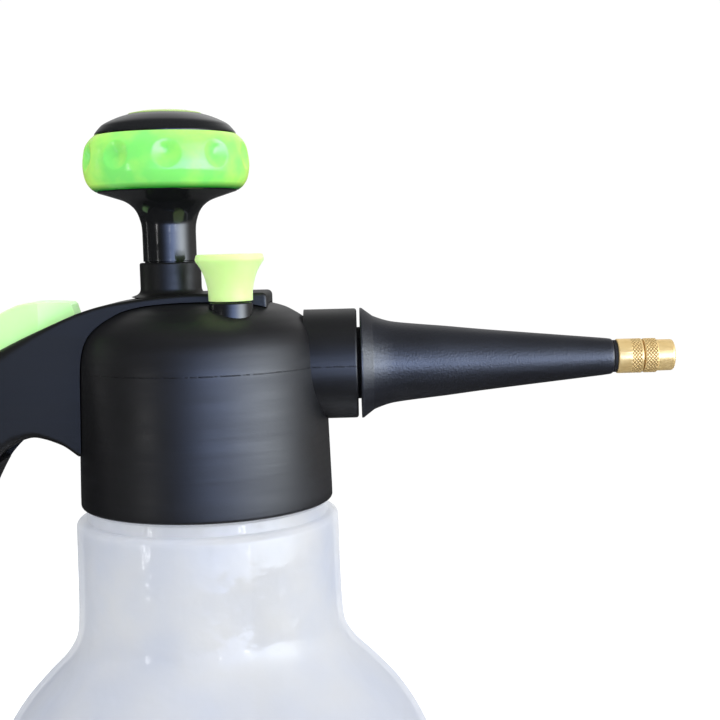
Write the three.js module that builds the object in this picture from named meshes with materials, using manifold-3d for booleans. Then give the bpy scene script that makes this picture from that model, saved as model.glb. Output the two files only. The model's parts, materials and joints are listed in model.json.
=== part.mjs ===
// Two-litre hand-held compression sprayer: a blow-moulded bottle, a screw-on head with a thumb-trigger grip,
// an air pump that hangs inside the bottle, a pull-up relief valve, and a long cone with an adjustable brass nozzle.
// Millimetres, +Z up. The origin is the centre of the bottle's resting face, and the nozzle points along +X.
import * as THREE from "three";
import { mergeVertices } from "three/addons/utils/BufferGeometryUtils.js";
import Module from "manifold-3d";

const wasm = await Module();
wasm.setup();

// ---- Driving dimensions. Everything in the head counts its height from the lower edge of the head's skirt.
const SKIRT_Z = 190; // height of that edge above the bottle's resting face
const SKIRT_R = 38.8; // outer radius of the skirt
const WALL = 2.4; // wall of the black mouldings
const DECK = [24.6, 27.4]; // underside and top of the deck that closes the bottle
const DOME_START = 41.2; // height where the head's side turns into its dome
const DOME_R = 38.2;
const DOME_RISE = 20.7;
const NOZZLE_H = 41.4; // height of the outlet line
const STUB_R = 16.9;
const STUB_END = 47.6;
const CONE_START = 48.8;
const CONE_END = 126.6;
const PUMP_X = -9; // the pump stands off the bottle's axis, towards the grip
const ROD_R = 5;
const BARREL_R = 13.9;
const BORE_R = 11.8;
const COLLAR_R = 9.35;
const COLLAR_TOP = 73.8;
const RELIEF = [11, -20]; // plan position of the relief valve
const INLET_X = 17; // the dip tube's axis
const GRIP_HALF = 14; // half the grip's width
const CAVITY_HALF = 11.4;
const PIVOT = [-72, 38.5]; // trigger pivot, in the side view
const LINK_H = [39.9, 42.9]; // underside and top of the pull link
const NECK_PITCH = 5;
const CLEAR = 0.3; // gap between neighbouring pieces

const COARSE = 28;
const MEDIUM = 16;
const FINE = 10;

// ---- Finishes
const finish = (color, roughness, metalness = 0, extra = {}) =>
  new THREE.MeshStandardMaterial({ color, roughness, metalness, ...extra });
const bottlePlastic = finish(0xe3e6ec, 0.35, 0, { transparent: true, opacity: 0.75 });
const blackSatin = finish(0x202226, 0.5);
const blackGloss = finish(0x15171a, 0.18);
const innerBlack = finish(0x2a2c30, 0.6);
const whiteInner = finish(0xe8e9ea, 0.45);
const gripGreen = finish(0x6fe46a, 0.3);
const triggerGreen = finish(0xb9f2a0, 0.4);
const valveLime = finish(0xd7f98a, 0.4);
const brass = finish(0xd9b25f, 0.28, 1);
const steel = finish(0xb8bcc0, 0.3, 1);
const rubber = finish(0x1a1a1a, 0.8);

// ---- Building blocks
// A closed three.js geometry as a manifold-3d solid, turned the right way out if its faces point inwards.
function solid(geometry) {
  const bare = new THREE.BufferGeometry();
  bare.setAttribute("position", geometry.getAttribute("position"));
  if (geometry.index) bare.setIndex(geometry.index);
  const merged = mergeVertices(bare, 1e-4);
  const vertProperties = Float32Array.from(merged.getAttribute("position").array);
  const build = (indices) => new wasm.Manifold(
    new wasm.Mesh({ numProp: 3, vertProperties, triVerts: Uint32Array.from(indices) }),
  );
  const indices = Array.from(merged.index.array);
  const made = build(indices);
  if (made.volume() > 0) return made;
  for (let i = 0; i < indices.length; i += 3) [indices[i + 1], indices[i + 2]] = [indices[i + 2], indices[i + 1]];
  return build(indices);
}

// A solid of revolution about +Z through [radius, height] points. A ring's outline is closed for it.
function lathe(outline, sides) {
  const points = outline.map(([r, z]) => new THREE.Vector2(r, z));
  if (outline[0][0] > 0) points.push(points[0].clone());
  return solid(new THREE.LatheGeometry(points, sides).rotateX(Math.PI / 2));
}

const rod = (radius, z0, z1, sides = MEDIUM) => lathe([[0, z0], [radius, z0], [radius, z1], [0, z1]], sides);
const ring = (inner, outer, z0, z1, sides = MEDIUM) =>
  lathe([[inner, z0], [outer, z0], [outer, z1], [inner, z1]], sides);
const oRing = (middle, section) => solid(new THREE.TorusGeometry(middle, section, 4, MEDIUM));

function box([x0, x1], [y0, y1], [z0, z1]) {
  return solid(new THREE.BoxGeometry(x1 - x0, y1 - y0, z1 - z0))
    .translate([(x0 + x1) / 2, (y0 + y1) / 2, (z0 + z1) / 2]);
}

// A side-view outline of [x, z] points, spread to half either side of the middle plane.
function slab(outline, half, round = 0) {
  const shape = new THREE.Shape(outline.map(([x, z]) => new THREE.Vector2(x, z)));
  const geometry = new THREE.ExtrudeGeometry(shape, {
    depth: 2 * (half - round),
    bevelEnabled: round > 0,
    bevelThickness: round,
    bevelSize: round,
    bevelOffset: -round,
    bevelSegments: 1,
    steps: 1,
  });
  return solid(geometry.translate(0, 0, round - half).rotateX(Math.PI / 2));
}

const spline = (points, count) =>
  new THREE.SplineCurve(points.map(([x, y]) => new THREE.Vector2(x, y)))
    .getSpacedPoints(count).map((p) => [p.x, p.y]);

// The same curve moved sideways: a positive distance moves it to the left of its direction of travel.
function offset(points, distance) {
  return points.map(([x, y], i) => {
    const [ax, ay] = points[Math.max(i - 1, 0)];
    const [bx, by] = points[Math.min(i + 1, points.length - 1)];
    const length = Math.hypot(bx - ax, by - ay);
    return [x - (distance * (by - ay)) / length, y + (distance * (bx - ax)) / length];
  });
}

// A right-hand screw thread ridge, as a solid that bites into the wall at its root.
function thread({ root, crest, pitch, turns, start, rootWidth, crestWidth }) {
  const perTurn = 14;
  const steps = Math.round(turns * perTurn);
  const positions = [];
  for (let i = 0; i <= steps; i++) {
    const angle = (2 * Math.PI * i) / perTurn;
    const z = start + (pitch * i) / perTurn;
    const section = [[root, -rootWidth / 2], [crest, -crestWidth / 2], [crest, crestWidth / 2], [root, rootWidth / 2]];
    for (const [r, dz] of section) positions.push(r * Math.cos(angle), r * Math.sin(angle), z + dz);
  }
  const indices = [0, 1, 2, 0, 2, 3];
  for (let i = 0; i < steps; i++) {
    for (let j = 0; j < 4; j++) {
      const a = 4 * i + j;
      const b = 4 * i + ((j + 1) % 4);
      indices.push(a, a + 4, b, b, a + 4, b + 4);
    }
  }
  const last = 4 * steps;
  indices.push(last, last + 2, last + 1, last, last + 3, last + 2);
  const geometry = new THREE.BufferGeometry();
  geometry.setAttribute("position", new THREE.Float32BufferAttribute(positions, 3));
  geometry.setIndex(indices);
  return solid(geometry);
}

class Coil extends THREE.Curve {
  constructor(radius, length, turns) {
    super();
    Object.assign(this, { radius, length, turns });
  }
  getPoint(t, target = new THREE.Vector3()) {
    const angle = 2 * Math.PI * this.turns * t;
    return target.set(this.radius * Math.cos(angle), this.radius * Math.sin(angle), this.length * t);
  }
}

// A compression spring that stands on z = 0 and is length tall over its wire.
function spring(radius, wire, length, turns) {
  const section = new THREE.Shape().absarc(0, 0, wire, 0, 2 * Math.PI);
  const path = new Coil(radius, length - 2 * wire, turns);
  const geometry = new THREE.ExtrudeGeometry(section, {
    steps: turns * 7, curveSegments: 2, bevelEnabled: false, extrudePath: path,
  });
  return solid(geometry).translate([0, 0, wire]);
}

// A pan-head screw whose head rests on z = 0 and whose shank runs up +Z.
const screw = (headRadius, shankRadius, length) => lathe(
  [[0, -1.8], [headRadius * 0.7, -1.8], [headRadius, -0.8], [headRadius, 0], [shankRadius, 0],
    [shankRadius, length - 1], [0, length]],
  FINE,
);

const group = (parent, position = [0, 0, 0]) => {
  const made = new THREE.Group();
  made.position.set(...position);
  parent.add(made);
  return made;
};

// Adds a solid to a group as a named mesh.
function add(parent, name, shape, material, position = [0, 0, 0], tilt = 0) {
  const { vertProperties, triVerts } = shape.getMesh();
  const geometry = new THREE.BufferGeometry();
  geometry.setAttribute("position", new THREE.BufferAttribute(Float32Array.from(vertProperties), 3));
  geometry.setIndex(new THREE.BufferAttribute(Uint32Array.from(triVerts), 1));
  geometry.computeVertexNormals();
  const mesh = new THREE.Mesh(geometry, material);
  mesh.name = name;
  mesh.position.set(...position);
  mesh.rotation.y = tilt;
  parent.add(mesh);
  return mesh;
}

// ---- Bottle
function bottle() {
  const shoulder = spline(
    [[69.8, 96], [69.2, 108], [66.2, 117], [60.5, 126.5], [53.5, 134.5], [46.6, 141.5], [42.2, 148.5], [41, 156]], 7,
  );
  const body = spline([[62, 8], [64.5, 22], [66.8, 50], [69.2, 80]], 2);
  const outer = [
    [0, 0], [36, 0], [38.5, 2.4], [46, 2.4], [48.5, 0], [55.5, 0], [59.8, 2.6], ...body, ...shoulder, [40.5, 183.6], [39, 185.6],
    [36.9, 185.8], [36.9, 189.2], [33.4, 189.6], [33.4, 212],
  ];
  const thin = 1.8;
  const inner = [
    [31, 212], [31, 187], [34.6, 183.4], [38.7, 181.5],
    ...shoulder.filter((_, i) => i % 2 === 0).map(([r, z]) => [r - thin, z]).reverse(),
    ...body.slice(0, -1).map(([r, z]) => [r - thin, z]).reverse(),
    [55, 1.9], [49.4, 1.9], [46.6, 4.3], [37.8, 4.3], [35.2, 1.9], [0, 1.9],
  ];
  const neckThread = thread({
    root: 33, crest: 35.1, pitch: NECK_PITCH, turns: 2, start: SKIRT_Z + 4.5, rootWidth: 2.2, crestWidth: 1.2,
  });
  return lathe([...outer, ...inner], COARSE).add(neckThread);
}

// ---- Head cap: skirt, dome, outlet stub, deck, relief tower and the pump's socket
// The dome's height over a radius, as a superellipse that is flatter on top than a circle.
const domeHeight = (r) => DOME_START + DOME_RISE * (1 - (r / DOME_R) ** 3) ** (1 / 2.4);

// The filled outside of skirt and dome, grown by a margin.
function domeSolid(margin, low, shares = [1, 0.98, 0.93, 0.85, 0.74, 0.58, 0.36]) {
  const radii = shares.map((share) => share * DOME_R);
  const crown = radii.map((r) => {
    const run = r / DOME_R;
    return [r + margin * run, domeHeight(r) + margin * (1 - run ** 3)];
  });
  return lathe([[0, low], [SKIRT_R + margin, low], ...crown, [0, DOME_START + DOME_RISE + margin]], COARSE);
}

const alongX = (shape) => shape.rotate([0, 90, 0]).translate([0, 0, NOZZLE_H]);

function headCap() {
  const skirtInside = SKIRT_R - WALL;
  const stub = alongX(rod(STUB_R, 20, STUB_END, COARSE));
  const stubHollow = alongX(rod(STUB_R - 2.3, 20, STUB_END - 2.6, COARSE));
  const upperHollow = domeSolid(-WALL, DECK[1], [1, 0.95, 0.8, 0.5]);
  const lowerHollow = rod(skirtInside, -1, DECK[0], COARSE);
  const edge = ring(SKIRT_R - 0.7, SKIRT_R + 1, -1, 0.7, COARSE);
  const tower = rod(6.5, DECK[0], 62, MEDIUM).translate([...RELIEF, 0]);
  const towerBore = rod(4.2, 29, 63, MEDIUM).add(rod(1.5, 20, 30, FINE)).translate([...RELIEF, 0]);
  const socket = ring(BARREL_R + 0.25, 16.6, 14, DECK[0] + 1, MEDIUM).translate([PUMP_X, 0, 0]);
  const capThread = thread({
    root: skirtInside + 1, crest: 34.45, pitch: NECK_PITCH, turns: 2, start: 4.5 + NECK_PITCH / 2,
    rootWidth: 2.2, crestWidth: 1.2,
  });
  const holes = [
    rod(ROD_R + 0.6, 20, 30).translate([PUMP_X, 0, 0]),
    rod(COLLAR_R + CLEAR, 50, 70).translate([PUMP_X, 0, 0]),
    rod(6.3, 20, 30, MEDIUM).translate([INLET_X, 0, 0]),
    alongX(rod(8.2, 40, 50, MEDIUM)),
    box([-42, -30], [-10, 10], [LINK_H[0] - 1.5, LINK_H[1] + 1.7]),
    ...rootScrewPlaces.map(([y, z]) => rod(1.7, -42, -30, FINE).rotate([0, 90, 0]).translate([0, y, z])),
  ];
  let made = domeSolid(0, 0).subtract(edge).add(stub);
  made = made.subtract(upperHollow.add(stubHollow)).subtract(lowerHollow);
  made = made.add(tower.intersect(domeSolid(30, 0))).add(socket).add(capThread).subtract(towerBore);
  return holes.reduce((shape, hole) => shape.subtract(hole), made);
}

// ---- Handle: a saddle over the dome, the pump's collar, an arch and a hollow grip
const topEdge = spline(
  [[8, 64.4], [-4, 64.35], [-18, 63.2], [-30.6, 61], [-43, 56.5], [-62, 47.8], [-78, 37.6], [-92, 22],
    [-101.5, 2], [-107.8, -20], [-110.5, -44]], 16,
);
const gripEnd = spline([[-110.5, -44], [-108, -51], [-98.5, -55.2], [-89, -52.5], [-86.3, -46]], 6).slice(1, -1);
const innerEdge = spline(
  [[-86.3, -46], [-83.5, -34], [-78.5, -18], [-71.5, -2], [-64.9, 11.4], [-60.9, 16.9], [-56.4, 20.8]], 8,
);
const archEdge = spline([[-56.4, 20.8], [-51, 22.4], [-47, 21.9], [-43, 20.5], [-40.5, 19.2], [-37, 16.5]], 7).slice(1);
const rootScrewPlaces = [[-7, 31], [7, 31]]; // [y, height] of the screws that hold the arch to the cap
// Cover screws: a point on the grip's inner edge, and the tilt that turns +Z to the way the screw runs.
const coverScrews = [[[-67.7, 5.8], -61.5], [[-83.1, -32.5], -72.5]];

const alongScrew = (shape, [[x, z], tilt]) => shape.rotate([0, tilt, 0]).translate([x, 0, z]);

function handleFrame() {
  const outline = [
    [21.2, 52], [21.2, 62.6], [20.6, 63.9], [19.2, 64.4], ...topEdge, ...gripEnd, ...innerEdge, ...archEdge,
    [-30, 16.5], [-30, 45], [0, 52],
  ];
  const back = offset(topEdge, 2.6).filter(([x, z]) => x < -43 && z > -46);
  const mouth = offset(innerEdge, -4).filter(([, z]) => z > -44 && z < 15);
  const hollow = slab([[-42, 54], ...back, [-104, -49], ...mouth, [-59.5, 21.4], [-54, 24.8], [-47, 24.5], [-42, 22.6]],
    CAVITY_HALF);
  const slot = slab(
    [[-33.4, 70], [-33.4, 57], [-34.2, 55.6], [-36.2, 52.8], [-38, 49], [-39.2, 46], [-42.5, 42.5], [-50, 34],
      [-80.2, 24], [-80.2, 50], [-76, 70]], 9.3,
  );
  const linkWindow = box([-46, -36], [-10, 10], [LINK_H[0] - 1.5, LINK_H[1] + 1.7]);
  const collar = lathe(
    [[0, 54.5], [COLLAR_R, 54.5], [COLLAR_R, 63], [COLLAR_R + 2.2, 64.2], [COLLAR_R + 0.9, 64.9], [COLLAR_R + 0.2, 66.2],
      [COLLAR_R, 68], [COLLAR_R, COLLAR_TOP - 0.7], [COLLAR_R - 0.7, COLLAR_TOP], [0, COLLAR_TOP]], MEDIUM,
  ).translate([PUMP_X, 0, 0]);
  const collarBore = rod(8.1, 58, 80).add(rod(6.4, 50, 60)).translate([PUMP_X, 0, 0]);
  const springShelf = box([-69, -59], [-CAVITY_HALF - 1, CAVITY_HALF + 1], [24, 27]);
  const rootBosses = rootScrewPlaces.map(([y, z]) => rod(3, -47, -38, FINE).rotate([0, 90, 0]).translate([0, y, z]));
  const rootPilots = rootScrewPlaces.map(([y, z]) => rod(1.5, -46.4, -36, FINE).rotate([0, 90, 0]).translate([0, y, z]));
  const coverBosses = coverScrews.map((place) => alongScrew(rod(3.2, 3, 29, FINE), place));
  const coverPilots = coverScrews.map((place) => alongScrew(rod(1.45, 2, 13.5, FINE), place));
  const pinHole = rod(1.62, -13.1, 13.1, MEDIUM).rotate([90, 0, 0]).translate([PIVOT[0], 0, PIVOT[1]]);

  const outside = slab(outline, GRIP_HALF, 1.3);
  let made = outside.subtract(hollow);
  for (const boss of [...rootBosses, ...coverBosses, springShelf]) made = made.add(boss.intersect(outside));
  made = made.subtract(slot).subtract(domeSolid(CLEAR, -20)).add(collar);
  const besideTower = rod(7, 40, 70).translate([...RELIEF, 0]);
  for (const cut of [...rootPilots, ...coverPilots, pinHole, linkWindow, collarBore, besideTower]) {
    made = made.subtract(cut);
  }
  return made;
}

function gripCover() {
  const strip = innerEdge.filter(([, z]) => z > -43 && z < 14);
  const plate = slab([...offset(strip, -0.05), ...offset(strip, 2.5).reverse()], CAVITY_HALF - CLEAR);
  return coverScrews.reduce(
    (shape, place) => shape
      .subtract(alongScrew(rod(1.7, -5, 8, FINE), place))
      .subtract(alongScrew(rod(3, -5, 1.2, FINE), place)),
    plate,
  );
}

// ---- Trigger group
function trigger() {
  const pad = spline(
    [[-39.8, 62.6], [-50, 62.9], [-55.5, 61.9], [-61.5, 58.8], [-68, 53.8], [-74, 47.3], [-78.2, 40.6]], 9,
  );
  const body = slab(
    [[-38, 59], [-38.9, 61.9], ...pad, [-78.6, 38], [-77.4, 35.2], [-75, 33.5], [-72, 33], [-68.9, 34], [-67.9, 37.5],
      [-67.6, 42], [-58, 47.6], [-46.5, 53], [-43, 56]], 8.8,
  );
  // The nose narrows towards the front, in plan.
  const noseSide = solid(new THREE.ExtrudeGeometry(
    new THREE.Shape([[-48.3, 8.8], [-36, 3.9], [-36, 12], [-48.3, 12]].map(([x, y]) => new THREE.Vector2(x, y))),
    { depth: 30, bevelEnabled: false },
  )).translate([0, 0, 45]);
  // A wedge leg reaches down through the pull link's window.
  const leg = slab([[-57.2, 47], [-48.7, 38.5], [-46.5, 38.5], [-46.5, 52], [-57.2, 52]], 4);
  const springPost = box([-67, -61], [-3, 3], [40.5, 46]);
  const eye = rod(1.72, -20, 20, MEDIUM).rotate([90, 0, 0]).translate([PIVOT[0], 0, PIVOT[1]]);
  return body.subtract(noseSide).subtract(noseSide.mirror([0, 1, 0])).add(leg).add(springPost).subtract(eye);
}

// A flat link that passes either side of the pump rod and pulls the valve needle when the wedge leg drives it back.
function pullLink() {
  const [low, high] = LINK_H;
  const outline = [[-57, -7.5], [-56, -8.5], [2, -8.5], [4, -6.5], [4, 6.5], [2, 8.5], [-56, 8.5], [-57, 7.5]];
  const plate = solid(new THREE.ExtrudeGeometry(
    new THREE.Shape(outline.map(([x, y]) => new THREE.Vector2(x, y))), { depth: high - low, bevelEnabled: false },
  )).translate([0, 0, low]);
  const rodSlot = box([PUMP_X - ROD_R - 4.5, 1.2], [-6, 6], [low - 1, high + 1]);
  const wedgeWindow = slab([[-53.6, high + 0.1], [-50.4, low - 0.1], [-42.5, low - 0.1], [-42.5, high + 0.1]], 4.6);
  const needleHole = rod(1.6, -5, 8, FINE).rotate([0, 90, 0]).translate([0, 0, NOZZLE_H]);
  const rimmed = plate.add(box([1.2, 4], [-4, 4], [low - 1.2, high + 1.2]));
  return rimmed.subtract(rodSlot).subtract(wedgeWindow).subtract(needleHole);
}

// ---- Outlet line. These are turned about +Z and laid along +X by their group.
function valveBody() {
  const outer = lathe(
    [[0, 8], [7.5, 8], [7.5, 42.2], [10.5, 42.2], [10.5, 44.7], [7.8, 44.7], [7.8, 48.4], [6, 48.4], [6, 61], [5.4, 62],
      [0, 62]], MEDIUM,
  );
  const bore = lathe(
    [[0, 5], [5.3, 5], [5.3, 13.6], [4, 13.6], [4, 28.2], [1.3, 29.6], [1.3, 32], [3, 34], [3, 66], [0, 66]], MEDIUM,
  );
  // In this frame the part's +Z is local -X, so the inlet leg runs down local +X.
  const leg = lathe([[0, 0], [4.2, 0], [4.2, 22.4], [2.75, 22.4], [2.75, 32], [2.2, 33.4], [0, 33.4]], MEDIUM)
    .rotate([0, 90, 0]).translate([0, 0, INLET_X]);
  const legBore = rod(1.6, 0, 40, FINE).rotate([0, 90, 0]).translate([0, 0, INLET_X]);
  return outer.add(leg).subtract(bore).subtract(legBore);
}

function nozzleCone() {
  const outer = [
    [0, CONE_START], [16.6, CONE_START], [17, CONE_START + 0.5], [14.6, 52.6], [12.8, 57.5],
    [11.4, 68], [9.55, 86.3], [7.65, 104.8], [5.8, 123.4], [5.3, 125.7], [4.2, CONE_END], [0, CONE_END],
  ];
  const bore = lathe([[0, 40], [6.3, 40], [6.3, 63], [4, 66], [2.6, 78], [2.6, 110], [3.6, 112], [3.6, 130], [0, 130]],
    MEDIUM);
  const flareHollow = ring(8.8, 14.2, 40, 51, MEDIUM).add(ring(8.8, 11, 50.5, 55, MEDIUM));
  return lathe(outer, COARSE).subtract(bore).subtract(flareHollow);
}

const nozzleBody = () => lathe(
  [[1.5, 114], [3.4, 114], [3.4, 127.8], [5, 127.8], [5.35, 128.1], [5.35, 135.2], [5.1, 135.5], [3.1, 135.5],
    [3.1, 142.3], [0.9, 143.2], [0.5, 143.2], [0.5, 140.1], [1.5, 139.1]], MEDIUM,
);

const nozzleCap = () => lathe(
  [[3.4, 136], [4.9, 136], [5.2, 136.3], [5.2, 139.8], [4.75, 140.3], [4.7, 144.7], [4.1, 145.4], [1.2, 145.4],
    [0.7, 144.8], [0.7, 144], [3.4, 143.6], [3.4, 142.1], [4.1, 142.1], [4.1, 140.3], [3.4, 140.3]], MEDIUM,
);

const glandNut = () => lathe(
  [[1.65, 6.2], [6.4, 6.2], [6.4, 7.8], [5.1, 7.8], [5.1, 13.3], [1.65, 13.3], [1.65, 11.6], [2.95, 11.6], [2.95, 9.6],
    [1.65, 9.6]], FINE,
);

const valveNeedle = () => lathe(
  [[0, -0.6], [2.6, -0.6], [2.6, 0.9], [1.4, 0.9], [1.4, 23.4], [3.3, 23.4], [3.3, 24.8], [1.4, 24.8], [1.4, 27.4],
    [0, 27.4]], FINE,
);

const needleSeal = () => lathe(
  [[0, 27.6], [1.55, 27.6], [1.55, 25.1], [3.4, 25.1], [3.4, 27.8], [1.1, 28.9], [0, 28.9]], FINE,
);

// ---- Pump. These stand on the pump's own axis.
function pumpBarrel() {
  const tube = lathe(
    [[0, -104], [8.1, -104], [8.1, -110], [10, -110], [10, -104], [BARREL_R - 0.6, -104], [BARREL_R, -103],
      [BARREL_R, 18.6], [BARREL_R - 1, 18.6], [BARREL_R - 1, 20.4], [BARREL_R, 20.4], [BARREL_R, 24.2], [BORE_R, 24.2],
      [BORE_R, -101.4], [0, -101.4]], MEDIUM,
  );
  return tube.subtract(rod(3.4, -110, -100, FINE));
}

function valveRetainer() {
  const ports = [0, 1, 2, 3].map((i) => rod(1.5, -112, -106, 8).translate([4.6, 0, 0]).rotate([0, 0, 90 * i]));
  return ports.reduce((shape, port) => shape.subtract(port), rod(8, -110, -107.9));
}

const pumpRod = () => lathe(
  [[0, -100.4], [1.6, -100.4], [3.2, -99.4], [3.2, -88], [ROD_R, -88], [ROD_R, 78], [3.8, 78], [3.8, 97.4], [1.8, 97.4],
    [1.8, 86], [0, 86]], 18,
);

const piston = () => lathe(
  [[3.35, -97.4], [11.3, -97.4], [11.3, -94.2], [8.6, -94.2], [8.6, -91.2], [11.3, -91.2], [11.3, -88.3], [3.35, -88.3]],
  MEDIUM,
);

const pistonSeal = () => lathe([[8.8, -94], [11.1, -94], [11.65, -91.6], [11.3, -91.4], [8.8, -91.4]], MEDIUM);

const pistonNut = () => rod(6.6, -99.9, -97.6, 6).subtract(rod(3.45, -101, -96, 18));

const rodGuide = () => ring(ROD_R + 0.12, 7.9, 58.3, 73.3, MEDIUM);

const knobFlare = [[8.15, 84], [8.7, 87], [9.8, 89.6], [12.3, 92], [16.2, 94], [21, 95.7]];

const knobBody = () => lathe(
  [[5.15, 74.5], [8, 74.5], [8.15, 74.8], ...knobFlare, [20.9, 96.2], [20.4, 96.9], [20.4, 108.3], [18, 108.3],
    [18, 99.2], [3.95, 98.4], [3.95, 78.1], [5.15, 78.1]], COARSE - 4,
);

const knobRing = () => lathe(
  [[20.8, 97.2], [21.7, 95.6], [23.3, 96.4], [24.5, 98.4], [25.1, 101.5], [25.15, 104], [24.8, 107.3], [24.2, 109.5],
    [23, 111.2], [21.6, 112.4], [20.8, 112.4]], COARSE - 4,
);

const knobCap = () => lathe(
  [[17.6, 108.6], [20.3, 108.6], [20.3, 112.7], [21.3, 112.7], [20.9, 113.9], [18.9, 115.8], [15.4, 117.4],
    [11.4, 118.7], [11.4, 118], [0, 118], [0, 115.8], [11.4, 115.8], [17.6, 113.4], [17.6, 108.6]], COARSE - 4,
);

const knobBadge = () => lathe([[0, 118.2], [11.1, 118.2], [11.1, 118.9], [8, 119.6], [0, 119.9]], MEDIUM);

// ---- Relief valve, on its own axis.
const reliefKnob = () => lathe(
  [[2.5, 62.5], [6.5, 62.5], [6.6, 65], [7.1, 68.4], [8, 71.4], [9.4, 73.6], [9.8, 74.8], [9.6, 75.9], [8.8, 76.3],
    [0, 76.5], [0, 72.2], [2.5, 72.2]], MEDIUM,
);

const reliefStem = () => lathe(
  [[0, 31.4], [3.3, 31.4], [3.3, 32.8], [1.5, 32.8], [1.5, 62.6], [2.3, 62.6], [2.3, 72], [0, 72]], FINE,
);

// ---- Assembly
const sprayer = new THREE.Group();
add(sprayer, "bottle", bottle(), bottlePlastic);
const head = group(sprayer, [0, 0, SKIRT_Z]);
add(head, "neck_gasket", ring(30.6, 35.2, 22.3, DECK[0] - 0.1, COARSE), rubber);

add(head, "head_cap", headCap(), blackSatin);
add(head, "handle_frame", handleFrame(), blackSatin);
add(head, "grip_cover", gripCover(), blackSatin);
coverScrews.forEach(([[x, z], tilt], i) => {
  const turn = THREE.MathUtils.degToRad(tilt);
  // The head sits in the cover's counterbore, 0.9 mm in from the edge.
  add(head, `cover_screw_${i + 1}`, screw(2.7, 1.3, 10), steel,
    [x + 0.9 * Math.sin(turn), 0, z + 0.9 * Math.cos(turn)], turn);
});
rootScrewPlaces.forEach(([y, z], i) => {
  add(head, `arch_screw_${i + 1}`, screw(2.7, 1.35, 10.5), steel, [-34.8, y, z], -Math.PI / 2);
});
add(head, "trigger_pin", rod(1.5, -12.9, 12.9).rotate([90, 0, 0]), steel, [PIVOT[0], 0, PIVOT[1]]);
add(head, "trigger", trigger(), triggerGreen);
add(head, "trigger_spring", spring(2.4, 0.4, 12.6, 5), steel, [-64, 0, 27.4]);
add(head, "pull_link", pullLink(), whiteInner);

const outlet = group(head, [0, 0, NOZZLE_H]);
outlet.rotation.y = Math.PI / 2;
add(outlet, "valve_body", valveBody(), whiteInner);
add(outlet, "gland_nut", glandNut(), whiteInner);
add(outlet, "gland_oring", oRing(2.2, 0.62), rubber, [0, 0, 10.6]);
add(outlet, "valve_needle", valveNeedle(), brass);
add(outlet, "needle_seal", needleSeal(), rubber);
add(outlet, "valve_spring", spring(2.6, 0.35, 9.6, 5), steel, [0, 0, 13.6]);
add(outlet, "cone_gasket", ring(8.1, 11.1, STUB_END + 0.1, CONE_START - 0.1), rubber);
add(outlet, "nozzle_cone", nozzleCone(), blackSatin);
add(outlet, "nozzle_gasket", ring(3.7, 5, CONE_END + 0.1, 127.7), rubber);
add(outlet, "nozzle_body", nozzleBody(), brass);
add(outlet, "nozzle_oring", oRing(3.62, 0.42), rubber, [0, 0, 141.2]);
add(outlet, "nozzle_cap", nozzleCap(), brass);

add(head, "inlet_oring", oRing(5.25, 0.85), rubber, [INLET_X, 0, (DECK[0] + DECK[1]) / 2]);
add(head, "dip_tube", ring(3, 4.3, -173, 18.6), whiteInner, [INLET_X, 0, 0]);
add(head, "dip_filter", lathe([[4.5, -171], [6.2, -171], [6.2, -179], [5, -180.6], [0, -180.6], [0, -178.8],
  [4.5, -178.8]], MEDIUM), innerBlack, [INLET_X, 0, 0]);

const pump = group(head, [PUMP_X, 0, 0]);
add(pump, "pump_barrel", pumpBarrel(), whiteInner);
add(pump, "barrel_oring", oRing(13.5, 0.46), rubber, [0, 0, 19.5]);
add(pump, "check_valve", rod(7.2, -105.5, -104.2), rubber);
add(pump, "valve_retainer", valveRetainer(), whiteInner);
add(pump, "rod_guide", rodGuide(), whiteInner);
add(pump, "collar_nut", ring(COLLAR_R + 0.3, 12.6, 54.9, 57.2),
  innerBlack);
add(pump, "piston", piston(), whiteInner);
add(pump, "piston_seal", pistonSeal(), rubber);
add(pump, "piston_nut", pistonNut(), innerBlack);
add(pump, "pump_rod", pumpRod(), whiteInner);
add(pump, "knob_body", knobBody(), blackGloss);
add(pump, "knob_screw", screw(3.6, 1.6, 9).rotate([180, 0, 0]), steel, [0, 0, 98.7]);
add(pump, "knob_ring", knobRing(), gripGreen);
add(pump, "knob_cap", knobCap(), blackGloss);
add(pump, "knob_badge", knobBadge(), gripGreen);

const relief = group(head, [...RELIEF, 0]);
add(relief, "relief_stem", reliefStem(), innerBlack);
add(relief, "relief_seal", rod(3.3, 29.2, 31.2, FINE), rubber);
add(relief, "relief_spring", spring(2.9, 0.4, 22, 6), steel, [0, 0, 33]);
add(relief, "relief_retainer", ring(1.75, 4, 56, 61.8, FINE), innerBlack);
add(relief, "relief_knob", reliefKnob(), valveLime);

export default sprayer;
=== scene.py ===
"""Looks for the hand-held compression sprayer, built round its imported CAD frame.

Lengths are millimetres in the row frame until they reach a mesh. h is a height above the lower edge of the
head's skirt.
"""
import json
from math import cos, hypot, pi, radians, sin, tan

import bmesh
import bpy
from mathutils import Matrix, Vector

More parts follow.
